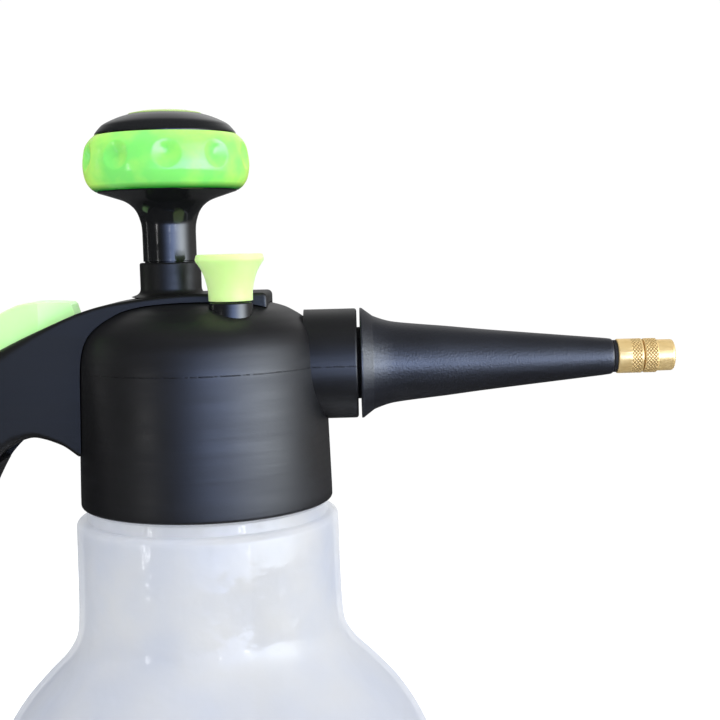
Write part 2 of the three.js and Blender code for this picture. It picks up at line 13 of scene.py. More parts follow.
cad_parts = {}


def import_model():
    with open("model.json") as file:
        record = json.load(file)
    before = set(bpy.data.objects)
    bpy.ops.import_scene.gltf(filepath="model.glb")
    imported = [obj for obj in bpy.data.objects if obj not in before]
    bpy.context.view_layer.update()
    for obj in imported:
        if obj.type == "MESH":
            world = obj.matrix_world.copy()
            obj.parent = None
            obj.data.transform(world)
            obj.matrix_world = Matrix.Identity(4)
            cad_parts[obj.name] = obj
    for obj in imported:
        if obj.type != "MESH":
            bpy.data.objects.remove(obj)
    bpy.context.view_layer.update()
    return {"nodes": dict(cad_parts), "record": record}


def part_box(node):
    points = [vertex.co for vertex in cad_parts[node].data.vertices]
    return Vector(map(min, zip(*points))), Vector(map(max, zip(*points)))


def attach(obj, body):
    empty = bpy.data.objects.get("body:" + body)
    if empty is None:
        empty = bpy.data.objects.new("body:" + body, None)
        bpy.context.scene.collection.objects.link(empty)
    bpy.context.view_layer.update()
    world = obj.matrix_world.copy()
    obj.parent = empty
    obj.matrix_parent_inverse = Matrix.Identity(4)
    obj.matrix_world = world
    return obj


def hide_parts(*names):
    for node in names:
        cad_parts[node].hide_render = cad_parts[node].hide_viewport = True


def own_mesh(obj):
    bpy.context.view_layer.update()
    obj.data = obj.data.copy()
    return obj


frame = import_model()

MM = 0.001


def middle(node):
    """The centre of a CAD node's box, in millimetres."""
    return tuple(round((a + b) / 2 / MM, 2) for a, b in zip(*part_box(node)))


SKIRT_Z = round(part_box("head_cap")[0].z / MM, 2)  # the head's h = 0
NOZZLE_Z = middle("nozzle_body")[2]
PUMP_X = middle("pump_barrel")[0]
INLET_X = middle("dip_tube")[0]
RELIEF = middle("relief_stem")[:2]
PARTING_H = 41.9        # the mould line round skirt and stub
DECK = (24.6, 27.4)     # lower and upper face of the head's deck, as h
GRIP_HALF = 14.0
CAVITY_HALF = 11.4
CLEAR = 0.35            # between the saddle and the dome
THREAD_PITCH = 5.0
THREAD_TURNS = 2
LIP_H = 95.9            # the knob ring carries painted shade below this

# The knurl of the brass pieces.
KNURLS = ((132.0, 134.85), (136.3, 139.85))  # spans of x
KNURL_START = KNURLS[0][0]
KNURL_COUNT = 26        # grooves round
KNURL_PITCH = 1.0       # along x, from one groove to the next
KNURL_DEPTH = 0.12
KNURL_HALF = 0.2        # half a groove, as a share of the pitch

# The round hollows in the knob's ring.
DIMPLES = 10
DIMPLE_TURN = 8         # degrees from -Y to the first
DIMPLE_R = 4.3
DIMPLE_H = 105.6
DIMPLE_DEPTH = 1.9
RING_R = 25.0


# ---------------------------------------------------------------- outlines
def curve(points, per=8):
    """A smooth curve through the points (Catmull-Rom)."""
    ends = [points[0], *points, points[-1]]
    made = []
    for a, b, c, d in zip(ends, ends[1:], ends[2:], ends[3:]):
        for i in range(per):
            t = i / per
            made.append(tuple(
                0.5 * (
                    2 * q + (r - p) * t + (2 * p - 5 * q + 4 * r - s) * t**2
                    + (3 * q - p - 3 * r + s) * t**3
                )
                for p, q, r, s in zip(a, b, c, d)
            ))
    return made + [tuple(map(float, points[-1]))]


def rounded(corners, steps=6, closed=True):
    """Corners as (x, y) or (x, y, radius); a corner with a radius becomes an arc."""
    made = []
    count = len(corners)
    for i, corner in enumerate(corners):
        here = Vector(corner[:2])
        radius = corner[2] if len(corner) > 2 else 0
        if not radius or (not closed and i in (0, count - 1)):
            made.append(tuple(here))
            continue
        back = Vector(corners[i - 1][:2]) - here
        ahead = Vector(corners[(i + 1) % count][:2]) - here
        half = back.angle(ahead) / 2
        reach = min(radius / tan(half), 0.49 * back.length, 0.49 * ahead.length)
        radius = reach * tan(half)
        back.normalize()
        ahead.normalize()
        centre = here + (back + ahead).normalized() * radius / sin(half)
        start = here + back * reach - centre
        turn = start.angle_signed(here + ahead * reach - centre)
        for k in range(steps + 1):
            made.append(tuple(centre + Matrix.Rotation(-turn * k / steps, 2) @ start))
    return made


def inset(points, distance, closed=False):
    """The curve moved to the left of its direction of travel, by one distance or by one for each point."""
    made = []
    count = len(points)
    for i, (x, y) in enumerate(points):
        ax, ay = points[i - 1] if closed or i else points[0]
        bx, by = points[(i + 1) % count] if closed or i < count - 1 else points[-1]
        length = hypot(bx - ax, by - ay) or 1.0
        gap = distance[i] if isinstance(distance, list) else distance
        made.append((x - gap * (by - ay) / length, y + gap * (bx - ax) / length))
    return made


# ---------------------------------------------------------------- solids, as (vertices, faces)
def placed(local, along, at):
    """A point made round Z, laid along X, Y or Z and moved."""
    x, y, z = local
    turned = {"X": (z, x, y), "Y": (x, z, y), "Z": (x, y, z)}[along]
    return tuple(p + q for p, q in zip(turned, at))


def lifted(points):
    """Points of (radius, h) as points of (radius, z)."""
    return [(r, h + SKIRT_Z) for r, h in points]


def spin(outline, sides=128, at=(0, 0, 0), along="Z", change=None):
    """Revolves an outline of (radius, height). change(angle, radius, height) may move a point."""
    verts, rows, faces = [], [], []
    for radius, height in outline:
        row = []
        for k in range(1 if radius < 1e-6 else sides):
            angle = 2 * pi * k / sides
            r, z = change(angle, radius, height) if change and radius > 1e-6 else (radius, height)
            row.append(len(verts))
            verts.append(placed((r * cos(angle), r * sin(angle), z), along, at))
        rows.append(row)
    pairs = list(zip(rows, rows[1:]))
    if len(rows[0]) > 1:
        pairs.append((rows[-1], rows[0]))
    for low, high in pairs:
        for k in range(sides):
            n = (k + 1) % sides
            face = [low[k % len(low)], low[n % len(low)], high[n % len(high)], high[k % len(high)]]
            face = list(dict.fromkeys(face))
            if len(face) > 2:
                faces.append(face)
    return verts, faces


def disc(radius, low, high, at=(0, 0, 0), along="Z", sides=96):
    return spin([(0, low), (radius, low), (radius, high), (0, high)], sides, at, along)


def slab(outline, half, rounds=0.0, steps=5):
    """A side-view outline of (x, h) spread to half either side of the middle plane, with rounded rims."""
    count = len(outline)
    if not isinstance(rounds, list):
        rounds = [rounds] * count
    area = sum(a[0] * b[1] - b[0] * a[1] for a, b in zip(outline, outline[1:] + outline[:1]))
    side = 1 if area > 0 else -1
    rings = []
    if max(rounds) > 0:
        # The first ring lies a little further in, so that the flat side stays flat where it meets the rim.
        bends = [pi / 2 * k / steps for k in range(steps + 1)]
        levels = [(1.25, 0.0)] + [(1 - sin(a), 1 - cos(a)) for a in bends]
        for share, depth in levels:
            path = inset(outline, [side * r * share for r in rounds], closed=True)
            rings.append([(x, -half + r * depth, h) for (x, h), r in zip(path, rounds)])
    else:
        rings.append([(x, -half, h) for x, h in outline])
    rings += [[(x, -y, h) for x, y, h in ring] for ring in reversed(rings)]
    verts = [(x, y, h + SKIRT_Z) for ring in rings for x, y, h in ring]
    faces = [list(range(count)), list(range(len(verts) - count, len(verts)))[::-1]]
    for k in range(len(rings) - 1):
        for i in range(count):
            j = (i + 1) % count
            faces.append([k * count + i, k * count + j, (k + 1) * count + j, (k + 1) * count + i])
    return verts, faces


def rail(sections):
    """A bar through sections that all have the same number of points, closed at both ends."""
    count = len(sections[0])
    verts = [point for section in sections for point in section]
    faces = []
    for i in range(len(sections) - 1):
        for k in range(count):
            a, b = count * i + k, count * i + (k + 1) % count
            faces.append([a, a + count, b + count, b])
    ends = [list(range(count)), list(range(len(verts) - count, len(verts)))[::-1]]
    return verts, faces + ends


def ridge(root, crest, start, width=1.1, per_turn=72):
    """The neck's right-hand screw thread, with a flat crest that tapers away at both ends."""
    sections = []
    steps = THREAD_TURNS * per_turn
    for i in range(steps + 1):
        angle = 2 * pi * i / per_turn
        taper = min(1.0, 6 * min(i, steps - i) / per_turn)
        top = root + 0.4 + (crest - root - 0.4) * taper
        z = start + THREAD_PITCH * i / per_turn
        profile = ((root, -width), (top, -width / 2), (top, width / 2), (root, width))
        sections.append([(r * cos(angle), r * sin(angle), z + dz) for r, dz in profile])
    return rail(sections)


def coil(radius, wire, length, turns, at, along="Z", sides=10, per_turn=30):
    """A compression spring that stands on at and whose end turns are wound close."""
    sections = []
    steps = turns * per_turn
    for i in range(steps + 1):
        share = i / steps
        angle = 2 * pi * turns * share
        rise = wire + (length - 2 * wire) * (share - 0.6 * sin(2 * pi * share) / (2 * pi))
        section = []
        for k in range(sides):
            turn = 2 * pi * k / sides
            r = radius + wire * cos(turn)
            local = (r * cos(angle), r * sin(angle), rise + wire * sin(turn))
            section.append(placed(local, along, at))
        sections.append(section)
    return rail(sections)


def prism(corners, low, high):
    """Four corners of (x, y) as a block between two heights."""
    verts = [(x, y, z) for z in (low, high) for x, y in corners]
    sides = [[i, i + 4, (i + 1) % 4 + 4, (i + 1) % 4] for i in range(4)]
    return verts, [[0, 1, 2, 3], [4, 7, 6, 5]] + sides


def tilted(solid, tilt, at):
    """Turns a solid made on the origin about +Y and moves it."""
    turn = Matrix.Rotation(radians(tilt), 3, "Y")
    return [tuple(turn @ Vector(v) + Vector(at)) for v in solid[0]], solid[1]


# ---------------------------------------------------------------- pieces
def mesh_of(solids, name):
    form = bmesh.new()
    for verts, faces in solids:
        made = [form.verts.new(Vector(v) * MM) for v in verts]
        for face in faces:
            form.faces.new([made[k] for k in face])
    bmesh.ops.recalc_face_normals(form, faces=form.faces)
    mesh = bpy.data.meshes.new(name)
    form.to_mesh(mesh)
    form.free()
    return mesh


def put(name, solids):
    made = bpy.data.objects.new(name, mesh_of(solids, name))
    bpy.context.scene.collection.objects.link(made)
    return made


def combine(target, solids, operation="DIFFERENCE"):
    """Cuts solids out of the target, or joins or keeps them, one after another."""
    for solid in solids:
        tool = put("tool", [solid])
        step = target.modifiers.new("step", "BOOLEAN")
        step.operation = operation
        step.solver = "MANIFOLD"
        step.object = tool
        evaluated = target.evaluated_get(bpy.context.evaluated_depsgraph_get())
        mesh = bpy.data.meshes.new_from_object(evaluated)
        target.modifiers.clear()
        target.data = mesh
        bpy.data.objects.remove(tool, do_unlink=True)
    return target


def finished(piece, material, body, nodes=(), sharp=32):
    """Shades a piece smooth up to the sharp angle, gives it its material and seats it on its body."""
    form = bmesh.new()
    form.from_mesh(piece.data)
    for face in form.faces:
        face.smooth = True
        face.material_index = 0
    for edge in form.edges:
        if len(edge.link_faces) == 2 and edge.calc_face_angle(0) > radians(sharp):
            edge.smooth = False
    form.to_mesh(piece.data)
    form.free()
    piece.data.materials.clear()
    piece.data.materials.append(material)
    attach(piece, body)
    if nodes:
        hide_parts(*nodes)
    return piece


# ---------------------------------------------------------------- materials
class Nodes:
    """A short way to write the node tree of a material, or of the world."""

    def __init__(self, name, world=False):
        self.owner = (bpy.data.worlds if world else bpy.data.materials).new(name)
        self.owner.use_nodes = True
        self.tree = self.owner.node_tree
        self.tree.nodes.clear()
        self.out = self.add("ShaderNodeOutputWorld" if world else "ShaderNodeOutputMaterial")
        self.place = self.add("ShaderNodeTexCoord").outputs["Generated" if world else "Object"]

    def add(self, kind, **inputs):
        node = self.tree.nodes.new(kind)
        for key, value in inputs.items():
            self.set(node, key, value)
        return node

    def set(self, node, key, value):
        socket = node.inputs[int(key[1:])] if key[0] == "_" else node.inputs[key.replace("_", " ")]
        if isinstance(value, bpy.types.NodeSocket):
            self.tree.links.new(value, socket)
        else:
            socket.default_value = value

    def math(self, operation, a, b=0.0, c=0.0, clamp=False):
        node = self.tree.nodes.new("ShaderNodeMath")
        node.operation = operation
        node.use_clamp = clamp
        for key, value in zip(("_0", "_1", "_2"), (a, b, c)):
            self.set(node, key, value)
        return node.outputs[0]

    def noise(self, scale, detail=3.0, stretch=(1, 1, 1), rough=0.5):
        """Noise of about this many features per millimetre."""
        mapping = self.add("ShaderNodeMapping", Vector=self.place, Scale=tuple(1000 * s for s in stretch))
        return self.add("ShaderNodeTexNoise", Vector=mapping.outputs[0], Scale=scale, Detail=detail,
                        Roughness=rough).outputs[0]

    def spread(self, value, low, high, to_low=0.0, to_high=1.0):
        return self.add("ShaderNodeMapRange", _0=value, _1=low, _2=high, _3=to_low, _4=to_high).outputs[0]

    def blend(self, factor, a, b):
        node = self.tree.nodes.new("ShaderNodeMix")
        node.data_type = "RGBA"
        self.set(node, "_0", factor)
        for key, value in (("_6", a), ("_7", b)):
            self.set(node, key, value if isinstance(value, bpy.types.NodeSocket) else (*value, 1.0))
        return node.outputs[2]

    def axes(self):
        return self.add("ShaderNodeSeparateXYZ", Vector=self.place).outputs

    def bump(self, *layers):
        """Layers of (height, depth in millimetres), stacked."""
        normal = None
        for height, depth in layers:
            node = self.add("ShaderNodeBump", Height=height, Strength=1.0, Distance=depth * MM)
            if normal:
                self.set(node, "Normal", normal)
            normal = node.outputs[0]
        return normal

    def surface(self, shader):
        self.set(self.out, "Surface", shader)
        return self.owner


def srgb(r, g, b):
    return tuple((c / 255 / 12.92) if c < 11 else (((c / 255) + 0.055) / 1.055) ** 2.4 for c in (r, g, b))


def black_plastic(name, shade, rough, grain, grain_depth, gloss_wave=0.02, seam=False, shine=0.5):
    """Black polypropylene: cloudy roughness, moulded grain, faint flow bands and a few hairline scratches."""
    n = Nodes(name)
    cloud = n.noise(0.05, 4)
    bands = n.noise(0.3, 2, (0.06, 0.06, 1))
    fine = n.noise(grain, 2)
    scratch = n.spread(n.noise(0.22, 5, (1, 1, 0.12)), 0.735, 0.745)
    z = n.axes()["Z"]
    colour = n.blend(cloud, tuple(0.75 * c for c in shade), tuple(1.3 * c for c in shade))
    colour = n.blend(n.math("MULTIPLY", scratch, 0.25), colour, (0.10, 0.10, 0.11))
    layers = [(cloud, gloss_wave), (bands, 0.07), (fine, grain_depth), (scratch, 0.01)]
    if seam:
        # The mould's parting line, with nicks of flash that come and go along it. The nicks are painted near
        # black, as painted shade along the flash.
        off = n.math("ABSOLUTE", n.math("SUBTRACT", z, (SKIRT_Z + PARTING_H) * MM))
        line = n.spread(off, 0.0, 0.0002, 1.0, 0.0)
        nick = n.math("MULTIPLY", line, n.spread(n.noise(0.35, 3, (1, 1, 0.02)), 0.52, 0.6))
        colour = n.blend(n.math("MULTIPLY", nick, 0.9), colour, (0.001, 0.001, 0.001))
        layers += [(line, 0.05), (nick, -0.12)]
    mixed = n.math("ADD", n.math("MULTIPLY", cloud, 0.5), n.math("ADD", n.math("MULTIPLY", fine, 0.3), bands))
    roughness = n.spread(mixed, 0.55, 1.15, rough - 0.07, rough + 0.09)
    shader = n.add("ShaderNodeBsdfPrincipled", Base_Color=colour, Roughness=roughness, IOR=1.49,
                   Specular_IOR_Level=shine, Normal=n.bump(*layers))
    return n.surface(shader.outputs[0])


def tinted_plastic(name, body, edge, glow, rough, lip_shade=None):
    """Fluorescent, slightly see-through plastic: yellower where it turns away, and lifted by an even painted
    glow.

    The lip colour is painted shade for the lowest edge of the knob's ring, where it meets the shank's flare.
    """
    n = Nodes(name)
    facing = n.add("ShaderNodeLayerWeight", Blend=0.35).outputs["Facing"]
    mottle = n.noise(0.12, 3)
    shift = n.math("ADD", n.math("POWER", facing, 1.6), n.spread(mottle, 0.3, 0.7, -0.18, 0.22), clamp=True)
    colour = n.blend(shift, body, edge)
    if lip_shade:
        # Painted shade: the ring's lowest edge, under the tyre and against the shank's flare, is darkened to
        # a deep green.
        low = SKIRT_Z + LIP_H
        near = n.spread(n.axes()["Z"], low * MM, (low + 1.6) * MM, 1.0, 0.0)
        colour = n.blend(near, colour, lip_shade)
    roughness = n.spread(mottle, 0.2, 0.8, rough - 0.05, rough + 0.08)
    # The emission is painted light: an even glow on top of the lit colour.
    shader = n.add(
        "ShaderNodeBsdfPrincipled", Base_Color=colour, Roughness=roughness, IOR=1.47, Subsurface_Weight=0.5,
        Subsurface_Radius=(1.0, 1.6, 0.6), Subsurface_Scale=2 * MM, Emission_Color=colour,
        Emission_Strength=glow, Normal=n.bump((mottle, 0.05), (n.noise(1.5, 2), 0.004)),
    )
    return n.surface(shader.outputs[0])


def milky_plastic():
    """Natural blown polyethylene: its uneven wall scatters light and lets some straight through."""
    n = Nodes("bottle_polyethylene")
    wave = n.noise(0.045, 3)
    ripple = n.noise(0.11, 2, (1, 1, 0.35))
    z = n.axes()["Z"]
    tone = n.blend(n.spread(wave, 0.3, 0.7), srgb(210, 215, 226), srgb(231, 231, 230))
    # Painted shade: the tone turns greyer from the shoulder down.
    tone = n.blend(n.spread(z, 0.09, 0.16), srgb(198, 202, 212), tone)
    normal = n.bump((wave, 1.1), (ripple, 0.35), (n.noise(0.22, 2), 0.14), (n.noise(0.9, 2), 0.004))
    skin = n.add("ShaderNodeBsdfDiffuse", Color=tone, Normal=normal).outputs[0]
    through = n.add("ShaderNodeBsdfTranslucent", Color=tone, Normal=normal).outputs[0]
    clear = n.add("ShaderNodeBsdfTransparent", Color=(0.87, 0.88, 0.90, 1)).outputs[0]
    body = n.add("ShaderNodeMixShader", _0=0.5, _1=skin, _2=through).outputs[0]
    body = n.add("ShaderNodeMixShader", _0=n.spread(wave, 0.2, 0.8, 0.36, 0.46), _1=body, _2=clear).outputs[0]
    # Painted light: an even glow over the bottle, stronger on the ledge and neck under the skirt's shade.
    glow = n.spread(z, 0.183, 0.187, 0.05, 0.10)
    painted_glow = n.add("ShaderNodeEmission", Color=(1, 1, 1, 1), Strength=glow).outputs[0]
    body = n.add("ShaderNodeAddShader", _0=body, _1=painted_glow).outputs[0]
    gloss = n.add("ShaderNodeBsdfGlossy", Color=(1, 1, 1, 1), Roughness=0.07, Normal=normal).outputs[0]
    mirror = n.math("MULTIPLY", n.add("ShaderNodeFresnel", IOR=1.5, Normal=normal).outputs[0], 0.4)
    mirror = n.math("MINIMUM", mirror, 0.055)
    return n.surface(n.add("ShaderNodeMixShader", _0=mirror, _1=body, _2=gloss).outputs[0])


def metal(name, dull, bright, rough, stretch=(1, 1, 1), knurled=()):
    """Satin metal with fine tool marks; the grooves of a knurl in some spans of x are darkened with painted
    shade.
    """
    n = Nodes(name)
    stain = n.noise(0.4, 4)
    marks = n.noise(2.2, 3, stretch)
    colour = n.blend(stain, dull, bright)
    layers = [(marks, 0.012), (n.noise(4.0, 2), 0.003)]
    if knurled:
        x, y, z = n.axes()
        turn = n.math("ARCTAN2", n.math("SUBTRACT", z, NOZZLE_Z * MM), y)
        turn = n.math("MULTIPLY", turn, KNURL_COUNT / (2 * pi))
        along = n.math("DIVIDE", n.math("SUBTRACT", x, KNURL_START * MM), KNURL_PITCH * MM)
        ways = [n.math("PINGPONG", n.math(both, turn, along), 0.5) for both in ("ADD", "SUBTRACT")]
        groove = n.spread(n.math("MINIMUM", *ways), 0.05, 0.15, 1.0, 0.0)
        spans = [
            n.math("MULTIPLY", n.math("GREATER_THAN", x, a * MM), n.math("LESS_THAN", x, b * MM))
            for a, b in knurled
        ]
        groove = n.math("MULTIPLY", groove, n.math("MAXIMUM", *spans))
        # Painted shade: the knurl's grooves are darkened to a deep brown.
        colour = n.blend(n.math("MULTIPLY", groove, 0.8), colour, (0.24, 0.12, 0.03))
        layers.append((groove, -0.05))
    shader = n.add(
        "ShaderNodeBsdfPrincipled", Base_Color=colour, Metallic=0.6,
        Roughness=n.spread(marks, 0.25, 0.75, rough - 0.07, rough + 0.09), Normal=n.bump(*layers),
    )
    return n.surface(shader.outputs[0])


def plain_plastic(name, low, high, rough, grain=1.2, glow=0.0):
    """Unpolished moulding: soft mottling and a little grain."""
    n = Nodes(name)
    mottle = n.noise(0.1, 4)
    fine = n.noise(grain, 2)
    colour = n.blend(mottle, low, high)
    roughness = n.spread(fine, 0.3, 0.7, rough - 0.06, rough + 0.08)
    # Emission above zero is painted light.
    shader = n.add(
        "ShaderNodeBsdfPrincipled", Base_Color=colour, Roughness=roughness, IOR=1.48, Emission_Color=colour,
        Emission_Strength=glow, Normal=n.bump((mottle, 0.04), (fine, 0.01)),
    )
    return n.surface(shader.outputs[0])


SATIN = black_plastic("black_satin", (0.006, 0.006, 0.007), 0.4, 2.2, 0.012, seam=True)
PLAIN = black_plastic("black_satin_plain", (0.006, 0.006, 0.006), 0.4, 2.2, 0.012, shine=0.4)
GRAIN = black_plastic("black_grained", (0.005, 0.006, 0.010), 0.42, 1.7, 0.085, shine=0.82)
GLOSS = black_plastic("black_gloss", (0.006, 0.0065, 0.0075), 0.13, 1.0, 0.001, 0.03)
# The glow given to each tinted plastic below is painted light.
GREEN = tinted_plastic("grip_green", srgb(122, 216, 108), srgb(206, 240, 104), 0.08, 0.15, srgb(26, 120, 32))
BADGE = tinted_plastic("badge_green", srgb(150, 176, 112), srgb(178, 196, 128), 0.05, 0.35)
LIME = tinted_plastic("valve_lime", srgb(196, 230, 146), srgb(210, 242, 172), 0.11, 0.4)
MINT = tinted_plastic("trigger_green", srgb(184, 238, 160), srgb(206, 250, 192), 0.22, 0.35)
MILKY = milky_plastic()
BRASS = metal("turned_brass", (0.80, 0.55, 0.22), (0.96, 0.73, 0.36), 0.33, (1, 0.02, 0.02), KNURLS)
STEEL = metal("bright_steel", (0.45, 0.46, 0.48), (0.68, 0.69, 0.71), 0.28)
WHITE = plain_plastic("white_polypropylene", (0.56, 0.57, 0.59), (0.66, 0.67, 0.69), 0.42)
# The barrel's glow is painted light, so that it shows brighter through the bottle.
TUBE = plain_plastic("white_barrel", (0.84, 0.85, 0.86), (0.92, 0.92, 0.92), 0.42, glow=0.16)
INNER = plain_plastic("inner_black", (0.018, 0.018, 0.02), (0.032, 0.032, 0.034), 0.5)
RUBBER = plain_plastic("rubber", (0.004, 0.004, 0.004), (0.009, 0.009, 0.010), 0.75, 2.5)


# ---------------------------------------------------------------- bottle
SHOULDER = [
    (62.1, 9), (64.5, 22), (66.8, 50), (69.2, 80), (69.8, 96), (69.2, 108), (66.2, 117), (60.5, 126.5),
    (53.5, 134.5), (46.6, 141.5), (42.2, 148.5), (41, 156), (40.6, 170),
]
foot = rounded(
    [(0, 0), (36, 0, 1), (38.5, 2.4, 1.2), (46, 2.4, 1.2), (48.5, 0, 1), (61.3, 0, 7.5), (62.1, 9)],
    closed=False,
)
ledge = rounded(
    [(40.6, 170), (40.4, 185.8, 2.1), (36.9, 185.8, 0.5), (36.9, 189.2, 0.4), (33.4, 189.6)],
    closed=False,
)
wall = foot[:-1] + curve(SHOULDER, 9)[:-1] + ledge[1:]
inside = [(max(r, 0.0), z) for r, z in inset(wall, 1.8)]
inside[0] = (0.0, 1.8)
inside = [p for p in inside if p[1] < 187][::-1]
neck = [(33.4, 211.6), (33.0, 212), (31.4, 212), (31.0, 211.6), (31.0, 188.4)]
bottle = put("bottle_shell", [
    spin(wall + neck + inside, 180),
    ridge(33.0, 35.1, SKIRT_Z + 4.5),
])
finished(bottle, MILKY, "bottle", ["bottle"], sharp=40)

# Plain level ticks, moulded proud of the wall. Every fifth one is long.
TICKS = 11
TICK_LOW = 18
TICK_STEP = 9
TICK_START = radians(-128)
TICK_PIECES = 8
ticks = []
for k in range(TICKS):
    z = TICK_LOW + TICK_STEP * k
    reach = 15 if k % 5 == 0 else 8
    spans = [(low, high) for low, high in zip(SHOULDER, SHOULDER[1:]) if low[1] <= z <= high[1]]
    (r_low, z_low), (r_high, z_high) = spans[0]
    radius = r_low + (r_high - r_low) * (z - z_low) / (z_high - z_low)
    sections = []
    for i in range(TICK_PIECES + 1):
        angle = TICK_START + reach * i / TICK_PIECES / radius
        profile = ((radius - 0.8, -0.45), (radius + 0.3, -0.3), (radius + 0.3, 0.3), (radius - 0.8, 0.45))
        sections.append([(r * cos(angle), r * sin(angle), z + dz) for r, dz in profile])
    ticks.append(rail(sections))
finished(put("level_ticks", ticks), MILKY, "bottle")

# ---------------------------------------------------------------- head cap
CROWN = [
    (37.75, 41), (37.4, 45.2), (36.4, 49.7), (34.5, 53.2), (31.7, 55.9), (28.6, 58.0), (25.2, 59.7),
    (19.4, 61.1), (10, 61.9), (0, 62),
]


def dome(margin, low):
    """The outside of skirt and dome as a filled solid, grown by a margin."""
    side = [(38.8 + margin, low), (38.75 + margin, 2), (37.75 + margin, 40.9)]
    crown = inset(curve(CROWN, 7), -margin)[:-1]
    crown = [p for p in crown if p[0] > 0]
    return spin(lifted([(0, low)] + side + crown[1:] + [(0, 62 + margin)]), 180)


skirt = rounded([(36.4, 0.3), (36.7, 0, 0.2), (38.8, 0, 1.3), (38.75, 4), (37.75, 40.9)], closed=False)
path = skirt + curve(CROWN, 7)[1:] + [(0, DECK[0]), (36.4, DECK[0])]
head = put("head_shell", [spin(lifted(path), 180)])
room = inset(curve(CROWN, 5), 2.4)
room = [p for p in room if p[0] > 0]
loft = [(0, DECK[1]), (35.2, DECK[1]), (35.3, 40)] + room[1:] + [(0, 59.6)]
combine(head, [
    spin(lifted(loft), 120),
    disc(5.6, SKIRT_Z + 20, SKIRT_Z + 30, (PUMP_X, 0, 0)),
    disc(9.7, SKIRT_Z + 50, SKIRT_Z + 70, (PUMP_X, 0, 0)),
    disc(6.3, SKIRT_Z + 20, SKIRT_Z + 30, (INLET_X, 0, 0)),
    slab([(-42, 38.4), (-30, 38.4), (-30, 44.6), (-42, 44.6)], 10),
])
finished(head, SATIN, "head", ["head_cap"])
socket = lifted([(14.2, 14), (16.6, 14), (16.6, 25), (14.2, 25)])
cap_inside = put("cap_thread_and_socket", [
    ridge(36.9, 34.5, SKIRT_Z + 7),
    spin(socket, 72, (PUMP_X, 0, 0)),
])
finished(cap_inside, SATIN, "head")
stub = rounded([(14.6, 31.5), (16.9, 31.5), (16.9, 47.7, 0.8), (8.2, 47.7), (8.2, 45), (14.6, 45)])
finished(put("outlet_stub", [spin(stub, 128, (0, 0, NOZZLE_Z), "X")]), SATIN, "head")
tower = rounded([(4.25, 36), (6.5, 36), (6.5, 62, 0.5), (4.25, 62, 0.3)])
finished(put("relief_tower", [spin(lifted(tower), 72, (*RELIEF, 0))]), GLOSS, "head")

# ---------------------------------------------------------------- handle
TOP = curve([
    (8, 64.4), (-4, 64.35), (-18, 63.2), (-30.6, 61), (-43, 56.5), (-62, 47.8), (-78, 37.6), (-92, 22),
    (-101.5, 2), (-107.8, -20), (-110.5, -44),
], 7)
END = curve([(-110.5, -44), (-108, -51), (-98.5, -55.2), (-89, -52.5), (-86.3, -46)], 7)
INNER_EDGE = curve([
    (-86.3, -46), (-83.5, -34), (-78.5, -18), (-71.5, -2), (-64.9, 11.4), (-60.9, 16.9), (-56.4, 20.8),
], 7)
ARCH = curve([(-56.4, 20.8), (-51, 22.4), (-47, 21.9), (-43, 20.5), (-40.5, 19.2), (-37, 16.5)], 5)
nose = rounded([(12, 64.4), (21.2, 64.4, 1.6), (21.2, 52)], closed=False)[::-1]
outline = nose + TOP + END[1:-1] + INNER_EDGE + ARCH[1:] + [(-30, 16.5), (-30, 45), (0, 52)]


def rim_radius(x, h):
    """The rim is small on the saddle and grows down the grip."""
    share = min(max((-38 - x) / 34, 0), 1)
    return 1.0 + 3.2 * share * share * (3 - 2 * share)


handle = put("saddle_and_grip", [slab(outline, GRIP_HALF, [rim_radius(*p) for p in outline], 6)])
back = [p for p in inset(TOP, 2.6) if p[0] < -43 and p[1] > -46]
mouth = [p for p in inset(INNER_EDGE, -4) if -44 < p[1] < 15]
cavity = [(-42, 54), *back, (-104, -49), *mouth, (-59.5, 21.4), (-54, 24.8), (-47, 24.5), (-42, 22.6)]
slot = [
    (-33.4, 70), (-33.4, 57), (-34.2, 55.6), (-36.2, 52.8), (-38, 49), (-39.2, 46), (-42.5, 42.5), (-50, 34),
    (-80.2, 24), (-80.2, 50), (-76, 70),
]
combine(handle, [slab(cavity, CAVITY_HALF)])
combine(handle, [slab([(-69, 24), (-59, 24), (-59, 27), (-69, 27)], 12)], "UNION")
combine(handle, [
    slab(slot, 9.3),
    dome(CLEAR, -30),
    disc(9.0, SKIRT_Z + 40, SKIRT_Z + 80, (PUMP_X, 0, 0)),
    disc(7.0, SKIRT_Z + 40, SKIRT_Z + 70, (*RELIEF, 0)),
    slab([(-46, 38.4), (-34, 38.4), (-34, 44.6), (-46, 44.6)], 10),
])
finished(handle, PLAIN, "head", ["handle_frame"], sharp=28)
collar = rounded([
    (6.4, 54.5), (9.35, 54.5), (9.35, 62.6), (12.2, 63.6), (9.35, 64.6, 2.4), (9.35, 73.95, 0.7),
    (8.1, 73.95, 0.2), (8.1, 58), (6.4, 58),
])
finished(put("pump_collar", [spin(lifted(collar), 96, (PUMP_X, 0, 0))]), PLAIN, "head")

